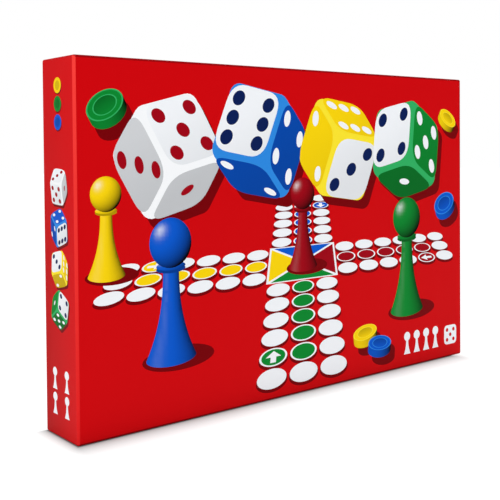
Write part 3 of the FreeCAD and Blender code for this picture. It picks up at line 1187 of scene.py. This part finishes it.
def wrap_shell(case, closed_sheet, side_sheets):
    """The folded wrap: closed face, folds, sides, rim, turn-in, and the glued inner side."""
    paper = papers().paper / MM
    bare = papers().board / MM
    turn_in = papers().turn_in / MM
    lined = bare + paper
    fold, inward, rim = case.fold, case.inward, case.rim
    red = ink_of("red")
    # Folds carry painted light: a highlight at the left and shade elsewhere on the lid, painted shade all
    # round on the base
    painted_fold_light = case.fold_highlight_and_shade if inward > 0 else ink_of("fold")
    quarter = fold * math.pi / 2
    depth = abs(rim - case.closed)
    side_end = quarter + depth - fold
    hem_end = side_end + lined + turn_in
    size = 2 * (case.half + hem_end)
    middle = (case.bottom + case.top) / 2
    shell = Shell(size, (0, middle))
    aside = (case.top + hem_end + middle + size / 2) / 2
    small = 0.15

    def tucked(ring):
        """A ring of the glued side, which lies on the net as a small copy above the printed side."""
        return [(place, out, (small * u, aside + small * (v - middle))) for place, out, (u, v) in ring]

    def leaning(angle):
        return lambda out: (out.x * math.sin(angle), -inward * math.cos(angle), out.y * math.sin(angle))

    def facing(y, outward):
        return lambda out: (out.x * outward, y, out.y * outward)

    away, back = facing(0, 1), facing(0, -1)
    to_rim, to_closed = facing(inward, 0), facing(-inward, 0)

    def on_closed(u, v):
        return inward * u, case.closed, v

    shell.print(closed_sheet, on_closed, (0, -inward, 0), lambda u, v: (inward * u, v))
    angles = [math.pi / 2 * i / case.STEPS for i in range(case.STEPS + 1)]
    for start, end in zip(angles, angles[1:]):
        rubs = (math.sin(2 * start), math.sin(2 * end))
        rings = case.folded_ring(0, start), case.folded_ring(0, end)
        loft(shell, *rings, leaning(start), leaning(end), painted_fold_light, rubs)

    def side_net(place, out):
        """Places of a side's print on the flat net, where it runs out from the closed face."""

        def net(u, v):
            x, y, z = place(u, v)
            run = quarter + inward * (y - case.closed) - fold
            return tuple(Vector((x, z)) + Vector(out) * (run - fold))

        return net

    places = {
        "left": (lambda u, v: (-case.half, -u, v), (-1, 0)),
        "right": (lambda u, v: (case.half, u, v), (1, 0)),
        "top": (lambda u, v: (u, v, case.top), (0, 1)),
    }
    sheets = {}
    for side, sheet in side_sheets.items():
        place, out = places[side]
        sheets[side] = (sheet, place, (out[0], 0, out[1]), side_net(place, out))
    fold_end = case.folded_ring(0, math.pi / 2)
    outer_rim = case.ring(0, fold, rim, side_end)
    inner_rim = case.ring(lined, 0, rim, side_end + lined)
    turned = rim - inward * turn_in
    hem = case.ring(lined, 0, turned, hem_end)
    loft(shell, fold_end, outer_rim, away, away, red, sheets=sheets)
    loft(shell, outer_rim, inner_rim, to_rim, to_rim, red, (0.5, 0.5))
    loft(shell, inner_rim, hem, back, back, red)
    glued = tucked(case.ring(bare, 0, turned, hem_end))
    under_rim = tucked(case.ring(bare, 0, rim - inward * paper, side_end))
    over_rim = tucked(case.ring(paper, fold - paper, rim - inward * paper, side_end))
    loft(shell, tucked(hem), glued, to_closed, to_closed, red)
    loft(shell, glued, under_rim, away, away, red)
    loft(shell, under_rim, over_rim, to_closed, to_closed, red)
    skins = [over_rim] + [tucked(case.folded_ring(paper, angle)) for angle in reversed(angles)]
    for one, two in zip(skins, skins[1:]):
        loft(shell, one, two, back, back, red)
    corners = skins[-1][:: case.STEPS + 1]
    shell.face([(place, (0, inward, 0), red, 0.0, net) for place, _, net in corners])
    return shell


def slab_shell(sheet, place, normal, thickness, side_ink):
    """A thin printed slab: its printed face, edges and plain back."""
    us, vs = zip(*sheet.edge)
    size = max(max(us) - min(us), max(vs) - min(vs)) + 4 * thickness
    shell = Shell(size, ((max(us) + min(us)) / 2, (max(vs) + min(vs)) / 2))
    shell.print(sheet, place, normal, lambda u, v: (u, v))
    behind = Vector(normal) * -thickness
    net = (min(us) - thickness, min(vs) - thickness)
    edges = shell.rim()
    following = dict(edges)
    for one, two in edges:
        front = [shell.points[one] / MM, shell.points[two] / MM]
        out = (front[1] - front[0]).cross(Vector(normal))
        wall = [front[0], front[1], front[1] + behind, front[0] + behind]
        shell.face([(p, out, side_ink, 0.0, net) for p in wall])
    loop = [edges[0][0]]
    while following[loop[-1]] != loop[0]:
        loop.append(following[loop[-1]])
    back = [shell.points[n] / MM + behind for n in loop]
    shell.face([(p, -Vector(normal), side_ink, 0.0, net) for p in back])
    return shell


def leaflet_shell(sheet_of, low, high, paper):
    """A sheet folded once: two leaves and the round fold on their left."""
    left, front, bottom = low
    right, behind, top = high
    outer = (behind - front) / 2
    inner = outer - paper
    centre = Vector((left + outer, (front + behind) / 2))
    steps = 12
    size = 2 * (right - left) + math.pi * outer
    shell = Shell(size, (left, (bottom + top) / 2))
    ground = ink_of("cream")
    bends = [math.pi / 2 + math.pi * i / steps for i in range(steps + 1)]

    def profile(radius):
        """From the back leaf's free edge round the fold to the front leaf's, with outward directions."""
        points = [(Vector((right, centre.y + radius)), Vector((0, 1)))]
        for angle in bends:
            out = Vector((math.cos(angle), math.sin(angle)))
            points.append((centre + out * radius, out))
        return points + [(Vector((right, centre.y - radius)), Vector((0, -1)))]

    def corner(spot, normal, z):
        """A corner of a plain face: on the net these all lie beside the printed leaf."""
        return ((spot.x, spot.y, z), normal, ground, 0.0, (spot.x - (right - left), z))

    outside, inside_faces = profile(outer), profile(inner)
    for line, sign in ((outside, 1), (inside_faces, -1)):
        for (one, lean_one), (two, lean_two) in zip(line, line[1:]):
            if sign > 0 and two.x == right:
                sheet = sheet_of(one.x, bottom, right, top)
                shell.print(sheet, lambda u, v: (u, front, v), (0, -1, 0), lambda u, v: (u, v))
                continue
            low_edge = [(one, lean_one, bottom), (two, lean_two, bottom)]
            high_edge = [(two, lean_two, top), (one, lean_one, top)]
            shell.face([corner(p, (sign * lean).to_3d(), z) for p, lean, z in low_edge + high_edge])
    for z, up in ((bottom, -1), (top, 1)):
        pairs = list(zip(outside, inside_faces))
        for (a, b), (c, d) in zip(pairs, pairs[1:]):
            shell.face([corner(p[0], (0, 0, up), z) for p in (a, c, d, b)])
    for end in (0, -1):
        one, two = outside[end][0], inside_faces[end][0]
        edges = ((one, bottom), (two, bottom), (two, top), (one, top))
        shell.face([corner(p, (1, 0, 0), z) for p, z in edges])
    return shell


def dress(material, *nodes):
    """Gives CAD nodes a finish."""
    for name in nodes:
        mesh = frame["nodes"][name].data
        mesh.materials.clear()
        mesh.materials.append(material)


def settle(piece, body, node):
    """Says which body a new piece rides on, and the node that it stands for."""
    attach(piece, body)
    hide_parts(node)


def paper_finish():
    """The printed paper, made once for all sheets."""
    return bpy.data.materials.get("printed_paper") or printed_paper()


class LUDO_OT_lid_wrap(bpy.types.Operator):
    """Make the lid's printed wrap"""

    bl_idname = "ludo.lid_wrap"
    bl_label = "Lid wrap"

    def execute(self, context):
        case = Case("lid_wrap", True)
        fold = case.fold
        low, high = case.bottom + fold, case.top - fold
        wide = case.half - fold
        start, end = case.closed + fold, case.rim
        # The sides' ground is the red with the painted light and shade of side_ink
        sides = {
            "left": side_strip(-end, low, -start, high, False, lambda u, v: case.side_ink(-u, v)),
            "right": side_strip(start, low, end, high, False, case.side_ink),
            "top": side_strip(-wide, start, wide, end, True, lambda u, v: case.side_ink(v, high)),
        }
        shell = wrap_shell(case, lid_cover(-wide, low, wide, high), sides)
        settle(shell.build("lid_printed_wrap", paper_finish()), "lid", "lid_wrap")
        return {"FINISHED"}


class LUDO_OT_base_wrap(bpy.types.Operator):
    """Make the base's printed wrap"""

    bl_idname = "ludo.base_wrap"
    bl_label = "Base wrap"

    def execute(self, context):
        case = Case("base_wrap", False)
        wide = case.half - case.fold
        panel = back_panel(-wide, case.bottom + case.fold, wide, case.top - case.fold)
        shell = wrap_shell(case, panel, {})
        settle(shell.build("base_printed_wrap", paper_finish()), "base", "base_wrap")
        return {"FINISHED"}


class LUDO_OT_case_boards(bpy.types.Operator):
    """Finish the greyboard trays and their corner stays"""

    bl_idname = "ludo.case_boards"
    bl_label = "Greyboard and stays"

    def execute(self, context):
        dress(greyboard("case_greyboard"), "lid_board", "base_board")
        dress(kraft_paper(), "lid_corner_stays", "base_corner_stays")
        return {"FINISHED"}


class LUDO_OT_trays(bpy.types.Operator):
    """Finish the formed trays and the shelf"""

    bl_idname = "ludo.trays"
    bl_label = "Trays and shelf"

    def execute(self, context):
        dress(formed_sheet(), "dice_tray", "board_shelf", *(c + "_tray" for c in COLOURS))
        return {"FINISHED"}


class LUDO_OT_leaflet(bpy.types.Operator):
    """Make the folded leaflet"""

    bl_idname = "ludo.leaflet"
    bl_label = "Leaflet"

    def execute(self, context):
        low, high = (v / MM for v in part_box("rules_leaflet"))
        shell = leaflet_shell(leaflet_face, low, high, papers().leaflet / MM)
        settle(shell.build("rules_sheet", paper_finish()), "base", "rules_leaflet")
        return {"FINISHED"}


class LUDO_OT_board(bpy.types.Operator):
    """Make the playing board's printed halves and finish its panels, linings and tape"""

    bl_idname = "ludo.board"
    bl_label = "Playing board"

    def execute(self, context):
        joint = next(j for j in frame["joints"] if j["name"] == "board_unfold")
        spine, middle = joint["pos_m"][0] / MM, joint["pos_m"][2] / MM
        for half, body, facing in (("lower", "game_board", -1), ("leaf", "board_leaf", 1)):
            node = "board_print_" + half
            low, high = (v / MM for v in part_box(node))
            face_y = low.y if facing < 0 else high.y
            ends = sorted(-facing * (x - spine) for x in (low.x, high.x))
            sheet = board_face(ends[0], low.z - middle, ends[1], high.z - middle)

            def place(u, v, face_y=face_y, facing=facing):
                return spine - facing * u, face_y, middle + v

            shell = slab_shell(sheet, place, (0, facing, 0), high.y - low.y, ink_of("navy"))
            settle(shell.build("board_face_" + half, paper_finish()), body, node)
        dress(greyboard("board_card"), "board_panel_lower", "board_panel_leaf")
        dress(lining_paper(), "board_lining_lower", "board_lining_leaf")
        dress(spine_cloth(), "board_tape_lower", "board_tape_leaf")
        return {"FINISHED"}


class LUDO_OT_counters(bpy.types.Operator):
    """Finish the four players' counters"""

    bl_idname = "ludo.counters"
    bl_label = "Counters"

    def execute(self, context):
        for colour in COLOURS:
            names = [n for n in frame["nodes"] if n.startswith(colour + "_counter")]
            dress(counter_plastic(colour + "_plastic", ink_of(colour)), *names)
        return {"FINISHED"}


class LUDO_OT_dice(bpy.types.Operator):
    """Make the dice, with paint in their dimples"""

    bl_idname = "ludo.dice"
    bl_label = "Dice"

    # A dimple's faces lie within FLAT_END of their side's middle and at least SKIN under it, in millimetres
    FLAT_END = 5.65
    SKIN = 0.01

    def execute(self, context):
        body, paint = dice_plastic(), pip_paint()
        for node in ("die_1", "die_2"):
            low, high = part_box(node)
            centre, half = (low + high) / 2, (high.x - low.x) / 2 / MM
            mesh = frame["nodes"][node].data.copy()
            mesh.name = node + "_moulding"
            mesh.materials.clear()
            mesh.materials.append(body)
            mesh.materials.append(paint)
            for face in mesh.polygons:
                _, beside, out = sorted(abs(c) / MM for c in face.center - centre)
                face.material_index = int(out < half - self.SKIN and beside < self.FLAT_END)
            piece = bpy.data.objects.new(node + "_moulding", mesh)
            context.scene.collection.objects.link(piece)
            settle(piece, "base", node)
        return {"FINISHED"}


class LUDO_OT_stage(bpy.types.Operator):
    """Set up the floor, the room, the lights and the camera"""

    bl_idname = "ludo.stage"
    bl_label = "Stage"

    # Half the floor's width in metres
    FLOOR_HALF = 6.0
    # Each lamp's setting, place and size in metres
    LAMPS = (
        ("key", (-0.5, -2.0, 1.9), 1.8),
        ("side", (-2.2, 0.3, 0.9), 1.4),
        ("top", (0.3, -0.3, 2.4), 2.0),
    )
    # How far the room's glow comes from a direction: in the middle, and its change along each axis
    GLOW_MIDDLE = 0.55
    GLOW_SLOPES = (-0.45, 0.35, 0.3)
    # The glow's least strength and its gain, in shares of the room light
    GLOW_LEAST = 0.25
    GLOW_GAIN = 0.95

    def execute(self, context):
        stage = context.scene.ludo_stage
        self.floor(context)
        self.room(context, stage)
        for setting, place, size in self.LAMPS:
            self.light(context, setting + "_light", place, size, getattr(stage, setting))
        self.camera(context, stage)
        context.scene.view_settings.view_transform = "Standard"
        return {"FINISHED"}

    def floor(self, context):
        half = self.FLOOR_HALF
        mesh = bpy.data.meshes.new("floor")
        mesh.from_pydata([(x, y, 0) for x, y in rectangle(-half, -half, half, half)], [], [(0, 1, 2, 3)])
        mesh.materials.append(studio_floor())
        floor = bpy.data.objects.new("floor", mesh)
        context.scene.collection.objects.link(floor)

    def room(self, context, stage):
        """A white room behind the box, dimmer in what the box reflects at the right."""
        world = bpy.data.worlds.new("room")
        context.scene.world = world
        finish = Finish(world)
        seen = finish.node("ShaderNodeLightPath", output="Is Camera Ray")
        slopes = zip(finish.axes("Generated"), self.GLOW_SLOPES)
        toward = sum((axis * slope for axis, slope in slopes), self.GLOW_MIDDLE).within(0.0, 1.0)
        glow = (self.GLOW_LEAST + self.GLOW_GAIN * toward) * stage.sky
        strength = seen + (1 - seen) * glow
        light = finish.node("ShaderNodeBackground", sockets={"Color": (1, 1, 1), "Strength": strength})
        finish.node("ShaderNodeOutputWorld", sockets={"Surface": light})

    def light(self, context, name, place, size, power):
        lamp = bpy.data.lights.new(name, "AREA")
        lamp.shape = "DISK"
        lamp.size = size
        lamp.energy = power
        holder = bpy.data.objects.new(name, lamp)
        holder.location = place
        aim = Vector((0, 0, CAD_BOX[1].z / 2)) - holder.location
        holder.rotation_euler = aim.to_track_quat("-Z", "Y").to_euler()
        context.scene.collection.objects.link(holder)

    def camera(self, context, stage):
        azimuth, elevation, roll = stage.azimuth, stage.elevation, stage.roll
        back = Vector((
            math.sin(azimuth) * math.cos(elevation),
            -math.cos(azimuth) * math.cos(elevation),
            math.sin(elevation),
        ))
        level = Vector((0, 0, 1)).cross(back).normalized()
        upright = back.cross(level)
        right = level * math.cos(roll) + upright * math.sin(roll)
        up = upright * math.cos(roll) - level * math.sin(roll)
        lens = bpy.data.cameras.new("camera")
        lens.lens = stage.lens
        lens.shift_y = stage.rise
        lens.clip_start = 0.01
        camera = bpy.data.objects.new("camera", lens)
        turn = Matrix((right, up, back)).transposed().to_4x4()
        camera.matrix_world = Matrix.Translation(Vector(stage.target) + back * stage.distance) @ turn
        context.scene.collection.objects.link(camera)
        context.scene.camera = camera


OPERATORS = (
    LUDO_OT_lid_wrap,
    LUDO_OT_base_wrap,
    LUDO_OT_case_boards,
    LUDO_OT_trays,
    LUDO_OT_leaflet,
    LUDO_OT_board,
    LUDO_OT_counters,
    LUDO_OT_dice,
    LUDO_OT_stage,
)
SETTINGS = {"ludo_inks": LudoInks, "ludo_papers": LudoPapers, "ludo_stage": LudoStage}


class LUDO_PT_maker(bpy.types.Panel):
    """Steps that make the set"""

    bl_idname = "LUDO_PT_maker"
    bl_label = "Ludo Set"
    bl_space_type = "VIEW_3D"
    bl_region_type = "UI"
    bl_category = "Ludo Set"

    def draw(self, context):
        for name, group in SETTINGS.items():
            for setting in group.__annotations__:
                self.layout.prop(getattr(context.scene, name), setting)
        for operator in OPERATORS:
            self.layout.operator(operator.bl_idname)


def register():
    for group in (*SETTINGS.values(), *OPERATORS, LUDO_PT_maker):
        bpy.utils.register_class(group)
    for name, group in SETTINGS.items():
        setattr(bpy.types.Scene, name, PointerProperty(type=group))


def unregister():
    for name in SETTINGS:
        delattr(bpy.types.Scene, name)
    for group in reversed((*SETTINGS.values(), *OPERATORS, LUDO_PT_maker)):
        bpy.utils.unregister_class(group)


def main():
    register()
    for operator in OPERATORS:
        getattr(bpy.ops.ludo, operator.bl_idname.split(".")[1])()


if __name__ == "__main__":
    main()
